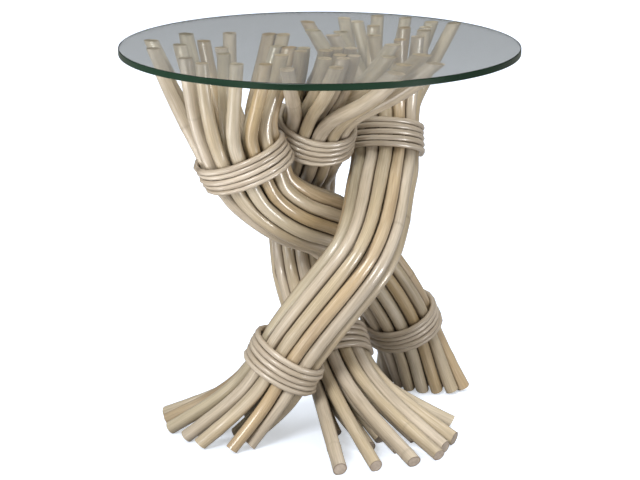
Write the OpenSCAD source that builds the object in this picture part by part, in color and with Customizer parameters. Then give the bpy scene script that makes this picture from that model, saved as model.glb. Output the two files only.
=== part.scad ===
// Side table: a loose round glass top on three bundles of bent rattan poles.
// Each bundle is tied with cane under its spread tops and again over its spread feet,
// and between the two bindings the bundles lean past each other like a twisted tripod.
// The floor is z = 0, the middle of the glass is over the origin, and the front is -Y.

/* [Table] */
// Height from the floor to the top of the glass
table_h = 559; // [545:1:590]
// Diameter of the glass
glass_d = 559; // [545:1:640]
// Thickness of the glass
glass_t = 9.5; // [8:0.5:12]
// Bevel along both edges of the glass
glass_bevel = 1.2; // [0.6:0.1:2]

/* [Poles] */
// Middle thickness of the poles
pole_d = 18.6; // [17:0.1:19.2]
// How much thicker or thinner than that a single pole may be
pole_vary = 1; // [0:0.1:1.2]
// Room between poles that lie side by side
pole_gap = 0.4; // [0.3:0.1:0.6]
// How far the lowest edge of each foot is worn flat on the floor
foot_wear = 0.8; // [0.4:0.1:1.2]

/* [Bindings] */
// Thickness of the cane in the bindings
cane_d = 8.2; // [7:0.1:9]
// Turns of cane in each binding
cane_turns = 4.6; // [3.6:0.5:4.6]
// Room between one turn of cane and the next
turn_gap = 0.5; // [0.45:0.05:0.8]
// Room between the cane and the poles
cane_room = 0.3; // [0.2:0.1:0.6]

/* [Hidden] */
// Bundles are named by where their feet stand
BUNDLES = ["left", "right", "front"];
OUTER = 12;
INNER = 5;
POLES = OUTER + INNER;

// The sizes of the table that the places below were measured on
measured_h = 559;
measured_glass_d = 559;
measured_pole_d = 18.6;
measured_bundle_d = 108.5;

// Middle of each top binding, and the way up through it
waist = [[94, 90, 407], [-105, -37, 401], [-6, 26, 429]];
waist_way = [[0, 40, 90], [-38, -20, 88], [16, -44, 86]];
// Points that the middle of each bundle bends through on its way down
bends = [
    [[86, 26, 346], [58, -80, 269]],
    [[-42, -2, 319], [29, 63, 272]],
    [[-28, 119, 343], [-22, 139, 198]]
];
// Middle of each foot binding, and the way down through it
ankle = [[-49, -65, 120], [121, 130, 122], [16, 39, 107]];
ankle_way = [[-42, 8, -84], [30, 45, -85], [22, -50, -62]];
// How far each bundle is pressed flat, as a share of its width
flatness = [0.08, 0.1, 0.1];
// How much wider than that the bundle has begun to open at its top binding
opened_ratio = [1, 1.24, 1];

// Where the poles meet the glass: place, and how upright they end from 0 to 10
tops = [
    [
        [150, 124, 5], [197, 186, 2], [164, 195, 3], [127, 231, 5], [86, 247, 6], [36, 229, 2],
        [-18, 197, 3], [-10, 125, 1], [19, 83, 1], [77, 82, 5], [113, 49, 6], [139, 73, 6],
        [78, 161, 5], [55, 200, 5], [154, 151, 5], [123, 147, 6], [30, 113, 5]
    ],
    [
        [-42, -12, 7], [-52, 89, 7], [-72, 93, 8], [-129, 101, 8], [-191, 94, 8], [-237, 42, 3],
        [-230, -20, 3], [-181, -92, 6], [-158, -130, 8], [-111, -135, 8], [-72, -137, 7],
        [-52, -69, 8], [-195, 9, 7], [-163, 38, 8], [-136, -14, 8], [-59, -3, 8], [-131, -60, 8]
    ],
    [
        [140, -69, 4], [102, 9, 5], [43, -17, 6], [23, -19, 6], [8, -34, 8], [-22, -16, 8],
        [-26, -40, 6], [-43, -173, 4], [22, -161, 4], [100, -199, 4], [112, -140, 5],
        [155, -132, 4], [7, -95, 8], [28, -69, 8], [94, -84, 8], [47, -75, 8], [32, -94, 8]
    ]
];
// Where the feet stand: place, and how level they lie from 0 to 10
feet = [
    [
        [-96, -63, 2], [-101, -39, 2], [-87, -15, 2], [-104, 31, 2], [-180, 58, 3], [-226, 35, 4],
        [-223, 6, 4], [-215, -31, 4], [-191, -67, 3], [-170, -100, 3], [-125, -120, 2],
        [-100, -100, 1], [-171, -26, 3], [-158, -6, 2], [-122, -55, 2], [-115, -75, 2],
        [-174, -48, 2]
    ],
    [
        [218, 161, 2], [196, 189, 2], [181, 202, 2], [150, 223, 2], [119, 237, 2], [94, 229, 2],
        [106, 200, 2], [123, 177, 2], [136, 161, 2], [155, 153, 2], [177, 147, 2], [200, 147, 2],
        [124, 213, 2], [152, 203, 2], [170, 184, 2], [181, 169, 2], [150, 181, 2]
    ],
    [
        [192, -82, 3], [192, -6, 3], [143, 23, 2], [71, -6, 2], [57, -25, 2], [53, -51, 2],
        [24, -58, 2], [28, -207, 3], [78, -193, 3], [131, -176, 3], [167, -149, 4], [177, -117, 4],
        [70, -118, 3], [88, -81, 2], [126, -44, 2], [136, -76, 3], [111, -122, 3]
    ]
];

// Thick and thin poles, as shares of pole_vary
mix_of_poles = [0.6, -0.4, 0.2, -1, 1, 0, -0.6, 0.8, -0.2, 0.4, -0.8, 0, 0.2, -0.4, -0.6, -0.6, 0];
// Places of the inner poles round the middle of a bundle
inner_angles = [180, 107, 50, -50, -107];

glass_z = table_h - glass_t;
turn_step = cane_d + turn_gap;
tied = cane_turns * turn_step + 2 * cane_d;
SIDES = [8, 6];
CANE_SIDES = 6;
CANE_STEPS = 20;
// Where round the bundle a binding starts, so that its two ends lie at the side, turned from the front
start_angle = 158;
FAN_STEPS = 3;
BEND_STEPS = [3, 3, 2];
// How far a pole keeps straight on past its bindings, as a share of the distance to its end
top_pull_ratio = 0.6;
foot_pull_ratio = 0.8;

function unit(v) = v / norm(v);
function sum(v, n) = n == 0 ? 0 : v[n - 1] + sum(v, n - 1);
function pole_r(i) = (pole_d + pole_vary * mix_of_poles[i]) / 2;
function next(i) = (i + 1) % OUTER;

// The outer poles lie side by side on an oval, and their widths set how large it is
steps = [for (i = [0:OUTER - 1]) pole_r(i) + pole_r(next(i)) + pole_gap];
oval_r = sum(steps, OUTER) / (2 * OUTER * sin(180 / OUTER));
function oval(b, inwards) = [oval_r * (1 + flatness[b]) - inwards, oval_r * (1 - flatness[b]) - inwards];
function on_oval(b, inwards, a) = let (e = a + 90 * flatness[b] / PI * sin(2 * a), size = oval(b, inwards))
    [size[0] * cos(e), size[1] * sin(e)];
function slot(b, i) = i < OUTER
    ? on_oval(b, 0, 360 * sum(steps, i) / sum(steps, OUTER))
    : on_oval(b, pole_d + pole_gap, inner_angles[i - OUTER]);

// Thicker poles or bindings push the bundles apart, a higher table stretches them,
// and the tops keep their places under a wider or narrower glass
bundle_d = 2 * oval_r + pole_d + 2 * cane_d;
apart = max(pole_d / measured_pole_d, bundle_d / measured_bundle_d);
function placed(p) = [p[0] * apart, p[1] * apart, p[2] * table_h / measured_h];
waist_at = [for (p = waist) placed(p)];
ankle_at = [for (p = ankle) placed(p)];
bends_at = [for (b = bends) [for (p = b) placed(p)]];
function top_at(b, i) = concat([for (k = [0, 1]) tops[b][i][k] * glass_d / measured_glass_d], glass_z);
function foot_at(b, i, z) = concat([for (k = [0, 1]) feet[b][i][k] * apart], z);

// Smooth curve between two points with a given way through each
function hermite(p, q, u, v, t) =
    p * (2 * t * t * t - 3 * t * t + 1) + u * (t * t * t - 2 * t * t + t)
    + q * (3 * t * t - 2 * t * t * t) + v * (t * t * t - t * t);

// Middle line of a bundle from the upper end of its top binding to the lower end of its foot binding
function knots(b) = concat(
    [waist_at[b] - unit(waist_way[b]) * tied / 2], bends_at[b],
    [ankle_at[b] - unit(ankle_way[b]) * tied / 2]);
function knot_way(b, k, i) = i == 0 ? -unit(waist_way[b]) * norm(k[1] - k[0])
    : i == len(k) - 1 ? unit(ankle_way[b]) * norm(k[i] - k[i - 1])
    : (k[i + 1] - k[i - 1]) / 2;
function middle_line(b) = let (k = knots(b)) concat(
    [waist_at[b] + unit(waist_way[b]) * tied / 2],
    [for (i = [0:len(k) - 2]) for (s = [0:BEND_STEPS[i] - 1])
        hermite(k[i], k[i + 1], knot_way(b, k, i), knot_way(b, k, i + 1), s / BEND_STEPS[i])],
    [k[len(k) - 1], ankle_at[b] + unit(ankle_way[b]) * tied / 2]);

// Ways of the stretches of a line of points, and a side direction carried along them without twisting
function ways(p) = [for (i = [0:len(p) - 2]) unit(p[i + 1] - p[i])];
function turned(n, a, b) = n - (a + b) * (n * b) / (1 + a * b);
function carried(w, n, i = 0) = i == len(w) - 1 ? [n]
    : concat([n], carried(w, turned(n, w[i], w[i + 1]), i + 1));
function square_to(w, n) = unit(n - (n * w) * w);

// Where two stretches meet, the section lies in the plane that halves the corner, so nothing gets thinner
function mitres(w, first, last) = concat([first], [for (i = [1:len(w) - 1]) unit(w[i - 1] + w[i])], [last]);
function slid(offset, w, plane) = offset - w * (offset * plane) / (w * plane);

lines = [for (b = [0:2]) middle_line(b)];
line_ways = [for (p = lines) ways(p)];
line_mitres = [for (w = line_ways) mitres(w, w[0], w[len(w) - 1])];
line_sides = [for (w = line_ways) carried(w, square_to(w[0], [1, 0, 0]))];

// Point beside a middle line, offset along its two side directions
function beside(b, k, uv) = let (j = min(k, len(line_ways[b]) - 1), w = line_ways[b][j], n = line_sides[b][j])
    lines[b][k] + slid(uv[0] * (k < 2 ? opened_ratio[b] : 1) * n + uv[1] * cross(n, w), w, line_mitres[b][k]);

// A pole spreads from its slot at the end of a binding to its own place on the glass or floor,
// and the pull says how far it keeps straight on before it turns there
function spread(p, way, q, end_way, pull) = let (d = norm(q - p)) [for (s = [1:FAN_STEPS])
    hermite(p, q, way * d * pull, end_way * d, s / FAN_STEPS)];
function top_way(b, i, p) = let (upright = tops[b][i][2])
    unit(unit(top_at(b, i) - p) * (10 - upright) + [0, 0, 1] * upright);
function foot_way(b, i, p) = let (w = unit(foot_at(b, i, 0) - p))
    unit(w * 10 + [w[0], w[1], 0] * feet[b][i][2]);
function foot_point(b, i, w) = foot_at(b, i, pole_r(i) * sqrt(1 - w[2] * w[2]) - foot_wear);
function reversed(v) = [for (i = [len(v) - 1:-1:0]) v[i]];

function pole_line(b, i) = let (
    n = len(lines[b]),
    bound = [for (k = [0:n - 1]) beside(b, k, slot(b, i))],
    tw = top_way(b, i, bound[0]),
    fw = foot_way(b, i, bound[n - 1]),
    top = spread(bound[0], unit(waist_way[b]), top_at(b, i), tw, top_pull_ratio),
    foot = spread(bound[n - 1], unit(ankle_way[b]), foot_point(b, i, fw), fw, foot_pull_ratio))
    concat(reversed(top), bound, foot);

function wall(rings, sides) = [for (i = [0:rings - 2]) for (j = [0:sides - 1])
    let (a = i * sides + j, c = i * sides + (j + 1) % sides)
    each [[a, a + sides, c], [a + sides, c + sides, c]]];
function caps(rings, sides) = let (e = (rings - 1) * sides) [for (j = [1:sides - 2])
    each [[0, j, j + 1], [e, e + j + 1, e + j]]];
// Rings of points along a line, ending in the planes across the ways first and last
function rings(p, first, last, r, sides) = let (
    w = ways(p),
    side = carried(w, square_to(w[0], [1, 0, 0])),
    plane = mitres(w, first, last))
    [for (k = [0:len(p) - 1]) let (j = min(k, len(w) - 1)) for (s = [0:sides - 1]) let (a = 360 * s / sides)
        p[k] + slid(r * (cos(a) * side[j] + sin(a) * cross(w[j], side[j])), w[j], plane[k])];

module pole(b, i) {
    p = pole_line(b, i);
    n = len(p);
    sides = SIDES[i < OUTER ? 0 : 1];
    points = rings(p, [0, 0, 1], unit(p[n - 1] - p[n - 2]), pole_r(i), sides);
    worn = [for (v = points) [v[0], v[1], max(v[2], 0)]];
    color([0.80, 0.73, 0.63]) polyhedron(worn, concat(wall(n, sides), caps(n, sides)));
}

// Cane wound round a bundle, where 0 is its top binding and 1 its foot binding
function binding_point(b, at, turn) = let (
    way = at == 0 ? -unit(waist_way[b]) : unit(ankle_way[b]),
    middle = at == 0 ? waist_at[b] : ankle_at[b],
    n = line_sides[b][at == 0 ? 0 : len(line_sides[b]) - 1],
    wide = [at == 0 ? opened_ratio[b] : 1, 1],
    outwards = (pole_d + pole_vary + cane_d) / 2 + cane_room,
    out = [for (k = [0, 1]) (oval(b, 0)[k] * wide[k] + outwards) / cos(180 / CANE_STEPS)],
    a = 360 * turn + start_angle)
    middle + way * (turn - cane_turns / 2) * turn_step
        + out[0] * cos(a) * n + out[1] * sin(a) * cross(n, way);
function binding_line(b, at) = let (
    count = round(cane_turns * CANE_STEPS),
    p = [for (k = [0:count]) binding_point(b, at, k / CANE_STEPS)])
    concat(
        [p[0] - unit(p[1] - p[0]) * cane_d], p,
        [p[count] + unit(p[count] - p[count - 1]) * cane_d]);

// Least room between one turn of a binding and the next, from its points
function turn_room(p) = let (half = CANE_STEPS / 2, last = len(p) - 1)
    min([for (i = [0:last - half]) for (j = [i + half:last]) norm(p[i] - p[j])]) - cane_d;
for (b = [0:2]) for (at = [0:1])
    echo(binding = binding_name(b, at), room_between_turns = turn_room(binding_line(b, at)));

module binding(b, at) {
    p = binding_line(b, at);
    n = len(p);
    points = rings(p, unit(p[1] - p[0]), unit(p[n - 1] - p[n - 2]), cane_d / 2, CANE_SIDES);
    color([0.78, 0.70, 0.60])
        polyhedron(points, concat(wall(n, CANE_SIDES), caps(n, CANE_SIDES)));
}

module glass_top() {
    r = glass_d / 2;
    color([0.62, 0.72, 0.70, 0.45]) translate([0, 0, glass_z])
        rotate_extrude($fn = 180) polygon([
            [0, 0], [r - glass_bevel, 0], [r, glass_bevel],
            [r, glass_t - glass_bevel], [r - glass_bevel, glass_t], [0, glass_t]]);
}

function two(n) = n < 10 ? str("0", n) : str(n);
function pole_name(b, i) = str(BUNDLES[b], "_pole_", two(i + 1));
function binding_name(b, at) = str(BUNDLES[b], at == 0 ? "_top_binding" : "_foot_binding");

glass_top();
for (b = [0:2]) for (i = [0:POLES - 1])
    pole(b, i);
for (b = [0:2]) for (at = [0:1])
    binding(b, at);
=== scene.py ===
"""Side table: a loose round glass top on three bundles of whitewashed rattan, bound with cane."""
import math
import random
from collections import namedtuple

import bmesh
import bpy
from mathutils import Matrix, Vector, noise
from mathutils.kdtree import KDTree


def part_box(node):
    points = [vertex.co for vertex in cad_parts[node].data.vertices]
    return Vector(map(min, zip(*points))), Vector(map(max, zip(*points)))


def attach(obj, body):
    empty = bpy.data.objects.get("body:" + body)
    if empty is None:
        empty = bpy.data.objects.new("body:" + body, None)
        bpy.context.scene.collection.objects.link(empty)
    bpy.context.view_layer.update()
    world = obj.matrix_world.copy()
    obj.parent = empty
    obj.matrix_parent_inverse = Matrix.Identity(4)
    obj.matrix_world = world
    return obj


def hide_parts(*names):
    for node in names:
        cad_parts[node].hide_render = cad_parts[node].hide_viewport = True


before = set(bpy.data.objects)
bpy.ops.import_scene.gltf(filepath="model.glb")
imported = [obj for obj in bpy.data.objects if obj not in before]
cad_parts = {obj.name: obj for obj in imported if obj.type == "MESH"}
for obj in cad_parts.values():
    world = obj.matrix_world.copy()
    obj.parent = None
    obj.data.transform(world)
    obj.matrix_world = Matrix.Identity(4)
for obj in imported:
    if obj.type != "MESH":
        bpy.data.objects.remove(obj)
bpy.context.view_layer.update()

MM = 0.001
BUNDLES = ("left", "right", "front")
POLES = 17
GLASS_LOW, GLASS_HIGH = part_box("glass_top")
GLASS_Z = GLASS_LOW.z


# ---------------------------------------------------------------- materials
class Wire:
    """What comes out of a node, with sums written as sums."""

    def __init__(self, finish, socket):
        self.finish, self.socket = finish, socket

    def math(self, operation, *others):
        return self.finish.node("ShaderNodeMath", {"operation": operation}, self, *others)

    def __add__(self, other):
        return self.math("ADD", other)

    def __mul__(self, other):
        return self.math("MULTIPLY", other)

    def __sub__(self, other):
        return self.math("SUBTRACT", other)

    def __rsub__(self, other):
        return self.finish.node("ShaderNodeMath", {"operation": "SUBTRACT"}, other, self)

    __radd__ = __add__
    __rmul__ = __mul__

    def rise(self, low, high):
        """0 below low and 1 above high, with a soft change between them."""
        return self.finish.node(
            "ShaderNodeMapRange", {"interpolation_type": "SMOOTHSTEP"},
            Value=self, From_Min=low, From_Max=high)


class Finish:
    """The nodes of a material, or of the world, while they are put together."""

    PLACE, NUMBER = 1, 2    # outputs of an Attribute node

    def __init__(self, owner):
        owner.use_nodes = True
        self.owner, self.tree = owner, owner.node_tree
        self.tree.nodes.clear()

    def node(self, kind, settings=None, *inputs, out=0, **named):
        """A node with its settings, its first sockets in order and the others by name."""
        made = self.tree.nodes.new(kind)
        for key, value in (settings or {}).items():
            setattr(made, key, value)
        pairs = [(made.inputs[i], v) for i, v in enumerate(inputs)]
        for key, value in named.items():
            usable = [s for s in made.inputs if s.name == key.replace("_", " ") and s.enabled]
            pairs.append((usable[0], value))
        for socket, value in pairs:
            if isinstance(value, Wire):
                self.tree.links.new(value.socket, socket)
            elif value is not None:
                plain = socket.type == "RGBA" and len(value) == 3
                socket.default_value = (*value, 1) if plain else value
        return Wire(self, made.outputs[out])

    def mix(self, amount, low, high):
        """Colours mixed by an amount."""
        return self.node(
            "ShaderNodeMix", {"data_type": "RGBA"}, out=2, Factor=amount, A=low, B=high)

    def noise(self, where, scale, detail=3, rough=0.5):
        return self.node(
            "ShaderNodeTexNoise", None, Vector=where, Scale=scale, Detail=detail, Roughness=rough)

    def written(self, name, out=NUMBER):
        """What a piece's mesh has written at each point."""
        return self.node("ShaderNodeAttribute", {"attribute_name": name}, out=out)

    def ray(self, kind):
        """1 for one kind of ray and 0 for the others."""
        return self.node("ShaderNodeLightPath", out=f"Is {kind} Ray")

    def stretched(self, where, times):
        """Coordinates drawn out along the last axis, so that a pattern runs that way."""
        return self.node("ShaderNodeVectorMath", {"operation": "MULTIPLY"}, where, times)

    def bump(self, height, strength, distance):
        return self.node(
            "ShaderNodeBump", None, Strength=strength, Distance=distance, Height=height)

    def done(self, shader, end="ShaderNodeOutputMaterial"):
        self.tree.links.new(shader.socket, self.tree.nodes.new(end).inputs[0])
        return self.owner


# Colours that several finishes share
PALEST_WASH = (0.68, 0.61, 0.52)
# Painted shade, laid where poles and turns of cane touch
PAINTED_SEAM_SHADE = (0.085, 0.055, 0.032)
LACQUER = {"Coat_Weight": 0.8, "Coat_Roughness": 0.2}
GLASS_IOR = 1.5


def new_finish(name):
    return Finish(bpy.data.materials.new(name))


def darker(colour, share):
    return tuple(c * share for c in colour)


def rattan(name, pale, deep, warm):
    """Whitewashed pole under satin lacquer, with painted shade darkening it where poles touch."""
    f = new_finish(name)
    place = f.written("straight", f.PLACE)
    streaks = f.noise(f.stretched(place, (1, 1, 0.03)), 560, 4, 0.62)
    broad = f.noise(f.stretched(place, (1, 1, 0.1)), 110, 3, 0.55)
    patches = f.noise(f.stretched(place, (1, 1, 0.6)), 14, 2, 0.5)
    wash = f.mix(broad.rise(0.34, 0.66), deep, pale)
    wash = f.mix(patches.rise(0.42, 0.66) * 0.75, wash, warm)
    wash = f.mix((1 - streaks.rise(0.32, 0.56)) * 0.32, wash, darker(deep, 0.5))
    wash = f.mix(streaks.rise(0.6, 0.72) * 0.5, wash, PALEST_WASH)
    wash = f.mix(f.written("knot").rise(0.3, 0.95) * 0.4, wash, darker(deep, 0.5))
    # Painted shade where the pole touches another pole or the cane
    wash = f.mix(f.written("seam").rise(0.28, 0.95) * 0.85, wash, PAINTED_SEAM_SHADE)
    grain = streaks * 0.55 + broad * 0.45
    return f.done(f.node(
        "ShaderNodeBsdfPrincipled", None, Base_Color=wash, Roughness=0.4 + (1 - streaks) * 0.2,
        Normal=f.bump(grain, 0.25, 0.8 * MM), **LACQUER))


def cane_finish():
    """Round cane of the bindings, whitewashed, with fine lines along it and painted shade between
    turns.
    """
    deep, pale = (0.45, 0.37, 0.275), (0.60, 0.515, 0.405)
    warm, line, knot = (0.44, 0.36, 0.25), (0.26, 0.2, 0.14), (0.16, 0.115, 0.075)
    f = new_finish("cane")
    place = f.written("straight", f.PLACE)
    lines = f.noise(f.stretched(place, (1, 1, 0.02)), 900, 4, 0.6)
    broad = f.noise(f.stretched(place, (1, 1, 0.1)), 120, 3, 0.5)
    patches = f.noise(place, 22, 2)
    wash = f.mix(broad.rise(0.3, 0.7), deep, pale)
    wash = f.mix(patches.rise(0.5, 0.72) * 0.6, wash, warm)
    wash = f.mix((1 - lines.rise(0.34, 0.58)) * 0.4, wash, line)
    wash = f.mix(f.written("knot").rise(0.3, 0.95) * 0.55, wash, knot)
    # Painted shade between turns and where the cane lies on the poles
    wash = f.mix(f.written("seam").rise(0.65, 1.0) * 0.6, wash, PAINTED_SEAM_SHADE)
    return f.done(f.node(
        "ShaderNodeBsdfPrincipled", None, Base_Color=wash, Roughness=0.38 + (1 - lines) * 0.2,
        Normal=f.bump(lines, 0.25, 0.6 * MM), **LACQUER))


def cut_end():
    """Sawn end of a pole: pith full of pores inside a thin darker skin."""
    deep, pale = (0.44, 0.36, 0.29), (0.57, 0.48, 0.395)
    pore, skin = (0.17, 0.12, 0.08), (0.17, 0.125, 0.085)
    f = new_finish("cut_end")
    place = f.written("straight", f.PLACE)
    flat = f.stretched(place, (1, 1, 0))
    out = f.node("ShaderNodeVectorMath", {"operation": "LENGTH"}, flat, out=1)
    pores = f.node("ShaderNodeTexVoronoi", None, Vector=flat, Scale=900)
    cloud = f.noise(place, 160, 3)
    pith = f.mix(cloud.rise(0.3, 0.7), deep, pale)
    pith = f.mix((1 - pores.rise(0.12, 0.3)) * 0.4, pith, pore)
    pith = f.mix(out.rise(7.4 * MM, 8.8 * MM) * 0.6, pith, skin)
    return f.done(f.node(
        "ShaderNodeBsdfPrincipled", None, Base_Color=pith, Roughness=0.72 + cloud * 0.1,
        Normal=f.bump(pores, 0.5, 0.4 * MM)))


def clear_glass():
    """Faintly green clear glass that lets the lamps through to the poles under it."""
    f = new_finish("clear_glass")
    lamps = f.ray("Shadow").math("MAXIMUM", f.ray("Diffuse"))
    glass = f.node(
        "ShaderNodeBsdfPrincipled", None, Base_Color=(0.975, 0.995, 0.98), Roughness=0.0,
        IOR=GLASS_IOR, Transmission_Weight=1.0)
    through = f.node("ShaderNodeBsdfTransparent", None, (0.98, 0.99, 0.985))
    return f.done(f.node("ShaderNodeMixShader", None, lamps, glass, through))


def glass_rim():
    """Polished edge, where the glass is seen through its whole width and goes dark green."""
    f = new_finish("glass_rim")
    place = f.node("ShaderNodeTexCoord", out="Object")
    depth = f.noise(f.stretched(place, (1, 1, 4)), 6, 2)
    green = f.mix(depth.rise(0.35, 0.65), (0.006, 0.022, 0.011), (0.012, 0.036, 0.020))
    return f.done(f.node(
        "ShaderNodeBsdfPrincipled", None, Base_Color=green, Roughness=0.24 + depth * 0.08,
        IOR=GLASS_IOR, Specular_IOR_Level=0.16))


PALE = rattan("rattan_pale", (0.60, 0.515, 0.39), (0.46, 0.385, 0.27), (0.55, 0.465, 0.325))
BEIGE = rattan("rattan_beige", (0.55, 0.46, 0.33), (0.41, 0.33, 0.22), (0.53, 0.425, 0.27))
OLIVE = rattan("rattan_olive", (0.51, 0.44, 0.32), (0.38, 0.32, 0.22), (0.52, 0.44, 0.30))
ROSE = rattan("rattan_rose", (0.58, 0.495, 0.385), (0.44, 0.365, 0.27), (0.55, 0.46, 0.335))
GOLDEN = rattan("rattan_golden", (0.55, 0.435, 0.285), (0.42, 0.305, 0.18), (0.53, 0.39, 0.22))
# Brown rattan tone, also given as painted shade to poles that lie in shade
BROWN_AND_SHADE = rattan("rattan_brown_and_shade", (0.44, 0.345, 0.225), (0.31, 0.23, 0.14), (0.47, 0.36, 0.22))
TAN = rattan("rattan_tan", (0.50, 0.385, 0.235), (0.36, 0.26, 0.14), (0.49, 0.36, 0.185))
PLAIN = (PALE, BEIGE, BEIGE, OLIVE, ROSE, PALE)
# The poles that show best have a colour of their own, the brown on poles that lie in shade being
# painted shade; the rest draw from the plain ones
MARKED = {
    "left_pole_11": GOLDEN, "left_pole_10": BEIGE, "left_pole_08": OLIVE, "left_pole_09": ROSE,
    "left_pole_16": BROWN_AND_SHADE, "left_pole_07": BROWN_AND_SHADE, "right_pole_01": GOLDEN, "right_pole_11": TAN,
    "right_pole_12": BEIGE, "right_pole_08": ROSE, "right_pole_14": BROWN_AND_SHADE, "right_pole_17": OLIVE,
    "right_pole_03": BROWN_AND_SHADE, "front_pole_09": BEIGE, "front_pole_13": PALE}
CANE, CUT_END = cane_finish(), cut_end()
CLEAR, RIM = clear_glass(), glass_rim()


# ---------------------------------------------------------------- lines of the solids
# What sets a pole and a length of cane apart: sides and ring spacing of the mesh, least and most
# length between knots, height of a knot's ridge and unevenness as shares of the radius, and how
# quickly and how far the stem strays from its solid's middle line
Stem = namedtuple("Stem", "sides step knots ridge uneven pace stray")
POLE_STEM = Stem(28, 6 * MM, (150 * MM, 260 * MM), 0.055, 0.024, 0.7, 2 * MM)
CANE_STEM = Stem(14, 5 * MM, (140 * MM, 300 * MM), 0.06, 0.02, 0.22, 1.7 * MM)

POLE_NODES = [[f"{bundle}_pole_{number:02d}" for number in range(1, POLES + 1)]
              for bundle in BUNDLES]
BINDING_NODES = [[f"{bundle}_{place}_binding" for place in ("top", "foot")] for bundle in BUNDLES]
FIRST_CANE_SEED = 57
SEEDS = {node: seed for seed, node in enumerate(sum(POLE_NODES, []), 1)}
SEEDS.update({node: seed for seed, node in enumerate(sum(BINDING_NODES, []), FIRST_CANE_SEED)})
APART = 0.9             # patterns of two stems start this far apart
SPARE = 14 * MM         # a pole is made this much too long at the top, and sawn off
FLAT = 0.99999          # two faces this near to parallel belong to one flat end


def tube_line(node):
    """Middle points of a solid tube's rings, from its upper flat end, and its radius."""
    bm = bmesh.new()
    bm.from_mesh(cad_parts[node].data)
    bmesh.ops.remove_doubles(bm, verts=bm.verts, dist=0.01 * MM)
    bm.normal_update()
    bm.verts.index_update()

    def flat_end(v):
        """Faces round a corner that lie in one plane with more than two others there."""
        around = v.link_faces
        return [f for f in around if sum(f.normal.dot(g.normal) > FLAT for g in around) > 3]

    ends = sorted((v for v in bm.verts if len(flat_end(v)) > 3), key=lambda v: v.co.z)
    ring = {v for f in flat_end(ends[-1]) for v in f.verts}
    points, seen = [], set()
    while ring:
        in_order = sorted(ring, key=lambda v: v.index)
        points.append(sum((v.co for v in in_order), Vector()) / len(ring))
        seen |= ring
        ring = {e.other_vert(v) for v in ring for e in v.link_edges} - seen
    # The corners nearest to the fourth ring's middle are its own; the middle one gives the radius
    sides = len(seen) // len(points)
    away = sorted((v.co - points[3]).length for v in seen)
    bm.free()
    return points, away[sides // 2]


def strayed(node):
    """The line a grown pole or a hand-wound cane takes along its solid, and its radius."""
    points, radius = tube_line(node)
    stem = CANE_STEM if node.endswith("binding") else POLE_STEM
    aside = [noise.noise_vector((i * stem.pace, SEEDS[node] * 7.3, 0.5)) * stem.stray
             for i in range(len(points))]
    last = len(points) - 2
    return [p + a if 1 < i < last else p for i, (p, a) in enumerate(zip(points, aside))], radius


class Neighbours:
    """Tells how far a point is from the skin of the nearest other pole or turn of cane."""

    STEP = 3 * MM
    REACH = 5 * MM
    OWN_STRETCH = 30 * MM

    def __init__(self, lines):
        self.samples = []
        for node, (points, radius) in lines.items():
            run = 0
            for a, b in zip(points, points[1:]):
                length = (b - a).length
                cuts = max(1, round(length / self.STEP))
                for i in range(cuts):
                    self.samples.append(
                        (a.lerp(b, i / cuts), node, radius, run + length * i / cuts))
                run += length
        self.widest = max(radius for points, radius in lines.values())
        self.tree = KDTree(len(self.samples))
        for i, sample in enumerate(self.samples):
            self.tree.insert(sample[0], i)
        self.tree.balance()

    def gap(self, place, node, run):
        """Distance to the nearest skin, but for the stem's own stretch around a run along it."""
        nearest = self.REACH
        for _, i, away in self.tree.find_range(place, self.REACH + self.widest):
            _, owner, radius, at = self.samples[i]
            if owner != node or abs(at - run) > self.OWN_STRETCH:
                nearest = min(nearest, away - radius)
        return max(0, nearest)


noise.seed_set(7)       # without a seed the noise would start from the clock
LINES = {node: strayed(node) for node in SEEDS}
NEIGHBOURS = Neighbours(LINES)


# ---------------------------------------------------------------- poles, bindings and glass
def work_on(piece):
    bpy.ops.object.select_all(action="DESELECT")
    piece.select_set(True)
    bpy.context.view_layer.objects.active = piece


def path_through(points, name):
    """A smooth path through the points, to bend a straight piece along."""
    bpy.ops.object.select_all(action="DESELECT")
    bpy.ops.curve.primitive_nurbs_path_add(location=(0, 0, 0))
    path = bpy.context.object
    path.name = name
    path.data.twist_mode = "MINIMUM"
    spline = path.data.splines[0]
    spline.points.add(len(points) - len(spline.points))
    for knot, place in zip(spline.points, points):
        knot.co = (*place, 1)
    spline.use_endpoint_u = True
    spline.order_u = 4
    spline.resolution_u = 10
    return path, spline.calc_length()


def straight_rod(name, length, radius, sides, step):
    """A straight rod on +Z from 0 to its length, ringed so that it can bend."""
    bpy.ops.object.select_all(action="DESELECT")
    bpy.ops.mesh.primitive_cylinder_add(
        vertices=sides, radius=radius, depth=length, location=(0, 0, 0))
    rod = bpy.context.object
    rod.name = rod.data.name = name
    bpy.ops.object.mode_set(mode="EDIT")
    bpy.ops.mesh.select_all(action="DESELECT")
    bm = bmesh.from_edit_mesh(rod.data)
    for edge in bm.edges:
        edge.select_set(abs(edge.verts[0].co.z - edge.verts[1].co.z) > length / 2)
    bmesh.update_edit_mesh(rod.data)
    bpy.ops.mesh.subdivide(number_cuts=max(2, round(length / step)))
    bpy.ops.object.mode_set(mode="OBJECT")
    rod.data.transform(Matrix.Translation((0, 0, length / 2)))
    return rod


def places_of_knots(chance, length, shortest, longest):
    places, at = [], chance.uniform(0.4, 1) * shortest
    while at < length:
        places.append(at)
        at += chance.uniform(shortest, longest)
    return places


def nearest_knot(z, knots):
    return min((abs(z - k) for k in knots), default=1)


def write_points(rod, name, kind, values):
    """Writes one value at each point of a rod's mesh, for its finish to read."""
    written = rod.data.attributes.new(name, kind, "POINT")
    key = "vector" if kind == "FLOAT_VECTOR" else "value"
    for i, value in enumerate(values):
        setattr(written.data[i], key, value)


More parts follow.
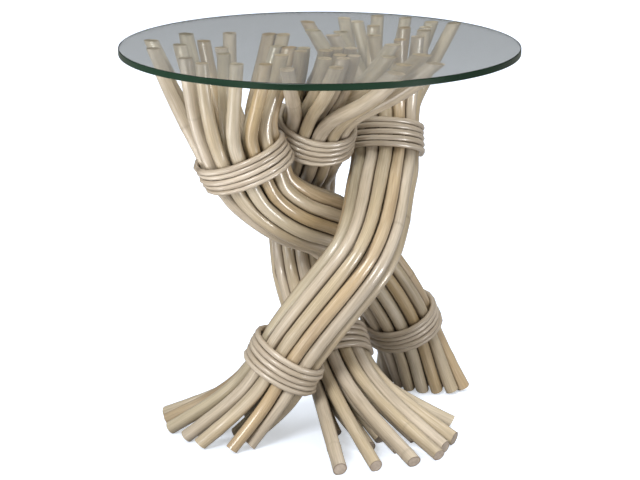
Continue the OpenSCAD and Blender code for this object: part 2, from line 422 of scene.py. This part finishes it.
def keep_straight_place(rod, knots, shift):
    """Writes where each point was before bending, and how near it is to a knot of the stem."""
    places = [v.co + Vector((0, 0, shift)) for v in rod.data.vertices]
    near = [max(0, 1 - nearest_knot(v.co.z, knots) / (3 * MM)) for v in rod.data.vertices]
    write_points(rod, "straight", "FLOAT_VECTOR", places)
    write_points(rod, "knot", "FLOAT", near)


def keep_seams(rod, node, shift):
    """Writes how close each point lies to another pole or turn, 1 where they touch: the mask of the
    painted shade there.
    """
    runs = [d.vector.z - shift for d in rod.data.attributes["straight"].data]
    gaps = [NEIGHBOURS.gap(v.co, node, run) for v, run in zip(rod.data.vertices, runs)]
    write_points(rod, "seam", "FLOAT", [1 - gap / NEIGHBOURS.REACH for gap in gaps])


def grow(rod, knots, seed, ridge, uneven):
    """Gives a rod the ridge at its knots, and the slow changes of a grown stem."""
    turn = random.Random(seed).uniform(0, 6)
    for v in rod.data.vertices:
        z, way = v.co.z, math.atan2(v.co.y, v.co.x)
        out = 1 + ridge * math.exp(-((nearest_knot(z, knots) / (6 * MM)) ** 2))
        out += uneven * 0.6 * math.sin(z * 23 + turn) + uneven * 0.4 * math.sin(z * 61 + 2 * turn)
        out += (uneven * math.cos(2 * way + z * 9 + turn)
                + uneven * 0.6 * math.cos(3 * way - z * 14 + turn))
        v.co.x *= out
        v.co.y *= out


def bend(rod, path):
    """Bends a straight rod along a path and forgets the path."""
    work_on(rod)
    modifier = rod.modifiers.new("bend", "CURVE")
    modifier.object = path
    modifier.deform_axis = "POS_Z"
    bpy.ops.object.modifier_apply(modifier="bend")
    bpy.data.objects.remove(path)


def bent_stem(node, stem, points, chance):
    """The pole or cane for a node, grown straight with its knots and bent along the points."""
    path, length = path_through(points, node + "_path")
    knots = places_of_knots(chance, length, *stem.knots)
    rod = straight_rod("dressed_" + node, length, LINES[node][1], stem.sides, stem.step)
    keep_straight_place(rod, knots, SEEDS[node] * APART)
    grow(rod, knots, SEEDS[node], stem.ridge, stem.uneven)
    bend(rod, path)
    return rod


def saw(rod, place, way):
    """Cuts off what lies beyond a plane through a place, square to a way, and closes the cut."""
    work_on(rod)
    bpy.ops.object.mode_set(mode="EDIT")
    bpy.ops.mesh.select_all(action="SELECT")
    bpy.ops.mesh.bisect(
        plane_co=place, plane_no=way, use_fill=True, clear_outer=True, threshold=0.001 * MM)
    bpy.ops.object.mode_set(mode="OBJECT")


def press_flat(rod):
    """Lets a foot wear flat where it stands on the ground."""
    for v in rod.data.vertices:
        v.co.z = max(0, v.co.z)


def dress(piece, materials, choose=lambda face: 0):
    """Gives a piece its materials, and each face the one chosen for it."""
    piece.data.materials.clear()
    for material in materials:
        piece.data.materials.append(material)
    for face in piece.data.polygons:
        face.material_index = int(choose(face))


def put_in_place(piece, node, body, angle=35):
    """Shades a piece, puts it in for its solid and lets it ride on its body."""
    work_on(piece)
    bpy.ops.object.shade_smooth_by_angle(angle=math.radians(angle))
    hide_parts(node)
    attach(piece, body)


def make_pole(node, material):
    """A pole: sawn level under the glass, sawn a little askew at its foot, and worn flat there."""
    points = LINES[node][0]
    above = points[0] + (points[0] - points[1]).normalized() * SPARE
    chance = random.Random(SEEDS[node])
    rod = bent_stem(node, POLE_STEM, [above] + points, chance)
    saw(rod, (0, 0, GLASS_Z), (0, 0, 1))
    foot_way = (points[-1] - points[-2]).normalized()
    tilt = Vector([chance.uniform(-0.2, 0.2) for _ in range(3)])
    saw(rod, points[-1] - foot_way * 2 * MM, foot_way + tilt)
    press_flat(rod)
    keep_seams(rod, node, SEEDS[node] * APART + SPARE)
    # Only a cut has more than four corners; the cuts under the glass keep the pole's own colour
    dress(rod, (material, CUT_END),
          lambda face: len(face.vertices) > 4 and face.center.z < GLASS_Z / 2)
    put_in_place(rod, node, "base")


def make_binding(node):
    rod = bent_stem(node, CANE_STEM, LINES[node][0], random.Random(SEEDS[node]))
    keep_seams(rod, node, SEEDS[node] * APART)
    dress(rod, (CANE,))
    put_in_place(rod, node, "base")


def make_glass():
    """The round pane: a disc with both edges bevelled and its rim polished."""
    radius, thick = min(GLASS_HIGH.x, -GLASS_LOW.x), GLASS_HIGH.z - GLASS_LOW.z
    bpy.ops.object.select_all(action="DESELECT")
    bpy.ops.mesh.primitive_cylinder_add(
        vertices=256, radius=radius, depth=thick, location=(0, 0, 0))
    pane = bpy.context.object
    pane.name = pane.data.name = "dressed_glass_top"
    bpy.ops.object.mode_set(mode="EDIT")
    bpy.ops.mesh.select_all(action="DESELECT")
    bm = bmesh.from_edit_mesh(pane.data)
    for edge in bm.edges:
        level = abs(edge.verts[0].co.z - edge.verts[1].co.z) < thick / 2
        edge.select_set(level and any(abs(f.normal.z) > 0.9 for f in edge.link_faces))
    bmesh.update_edit_mesh(pane.data)
    bpy.ops.mesh.bevel(
        offset=1.2 * MM, offset_type="OFFSET", segments=2, profile=0.5, affect="EDGES")
    bpy.ops.object.mode_set(mode="OBJECT")
    pane.data.transform(Matrix.Translation((0, 0, GLASS_Z + thick / 2)))
    dress(pane, (CLEAR, RIM), lambda face: abs(face.normal.z) <= 0.5)
    put_in_place(pane, "glass_top", "top", 20)


chances = random.Random(7)
for poles, bindings in zip(POLE_NODES, BINDING_NODES):
    for node in poles:
        plain = chances.choice(PLAIN)
        make_pole(node, MARKED.get(node, plain))
    for node in bindings:
        make_binding(node)
make_glass()


# ---------------------------------------------------------------- camera, lamps and floor
def camera():
    """The photograph's view, with a lens 2406.7 / 640 times as long as its sensor is wide."""
    data = bpy.data.cameras.new("camera")
    data.sensor_width = 36
    data.lens = data.sensor_width * 2406.7 / 640
    view = bpy.data.objects.new("camera", data)
    view.location = (0.0004, -3.3, 1.1564)
    view.rotation_euler = (math.radians(90 - 14.9), 0, 0)
    bpy.context.scene.collection.objects.link(view)
    bpy.context.scene.camera = view


def lamp(name, place, size, watts):
    """A soft panel that faces the middle of the table, and that nothing mirrors."""
    data = bpy.data.lights.new(name, "AREA")
    data.shape, data.size, data.size_y, data.energy = "RECTANGLE", *size, watts
    light = bpy.data.objects.new(name, data)
    light.location = place
    aim = Vector((0, 0, 0.3)) - Vector(place)
    light.rotation_euler = aim.to_track_quat("-Z", "Y").to_euler()
    light.visible_camera = light.visible_transmission = light.visible_glossy = False
    bpy.context.scene.collection.objects.link(light)
    return light


def card(name, place, size, watts, turn):
    """A bright card lying face up on the ground, which the poles mirror as a long highlight."""
    light = lamp(name, (*place, 10 * MM), size, watts)
    light.rotation_euler = (math.pi, 0, math.radians(turn))
    light.visible_glossy = True
    return light


def sun(name, turn, strength, spread):
    data = bpy.data.lights.new(name, "SUN")
    data.energy, data.angle = strength, math.radians(spread)
    light = bpy.data.objects.new(name, data)
    light.rotation_euler = (math.radians(turn[0]), 0, math.radians(turn[1]))
    bpy.context.scene.collection.objects.link(light)


def floor():
    """White ground that keeps the shadow of the table and looks grey through the glass."""
    bpy.ops.object.select_all(action="DESELECT")
    bpy.ops.mesh.primitive_plane_add(size=30, location=(0, 0, 0))
    ground = bpy.context.object
    ground.name = "floor"
    f = new_finish("floor")
    seen = f.ray("Camera")
    tone = f.mix(seen, (0.47, 0.47, 0.48), (0.78, 0.86, 1.0))
    tone = f.mix(f.ray("Glossy"), tone, (0.40, 0.38, 0.36))
    tone = f.mix(f.ray("Transmission"), tone, (0.61, 0.645, 0.70))
    lit = f.node("ShaderNodeBsdfDiffuse", None, Color=tone)
    glow = f.node("ShaderNodeEmission", None, (0.94, 0.97, 1.0), 0.5)
    paler = f.node("ShaderNodeAddShader", None, lit, glow)
    ground.data.materials.append(f.done(f.node("ShaderNodeMixShader", None, seen, lit, paler)))


def sky():
    """Soft light from above that fades towards the horizon, so that the gaps stay dark."""
    world = bpy.data.worlds.new("sky")
    bpy.context.scene.world = world
    f = Finish(world)
    way = f.node("ShaderNodeTexCoord", out="Generated")
    height = f.node("ShaderNodeSeparateXYZ", None, way, out=2)
    # The underside of the glass mirrors what is high up; white there would veil the poles
    through_glass = f.ray("Transmission") * (1 - height.rise(0.05, 0.15) * 0.55)
    seen = f.ray("Camera").math("MAXIMUM", through_glass)
    white = f.node("ShaderNodeBackground", None, (1, 1, 1), 1.0)
    glow = f.node("ShaderNodeBackground", None, (1, 1, 1), height.rise(0.1, 0.9) * 0.55 + 0.1)
    f.done(f.node("ShaderNodeMixShader", None, seen, glow, white), "ShaderNodeOutputWorld")


camera()
sun("key", (56, -24), 2.27, 18)
card("left card", (-1.15, -0.5), (1.6, 0.22), 7, 24)
card("front card", (-0.88, -1.2), (1.2, 0.26), 11, 55)
card("right card", (1.05, -0.75), (1.1, 0.4), 36, -36).visible_diffuse = False
lamp("right panel", (1.7, -1.8, 0.6), (0.6, 1.0), 14)
lamp("top panel", (0.5, -0.3, 2.3), (0.4, 1.2), 14)
lamp("back panel", (0.8, 1.6, 2.0), (1.0, 1.0), 15)
floor()
sky()
bpy.context.scene.view_settings.view_transform = "Standard"
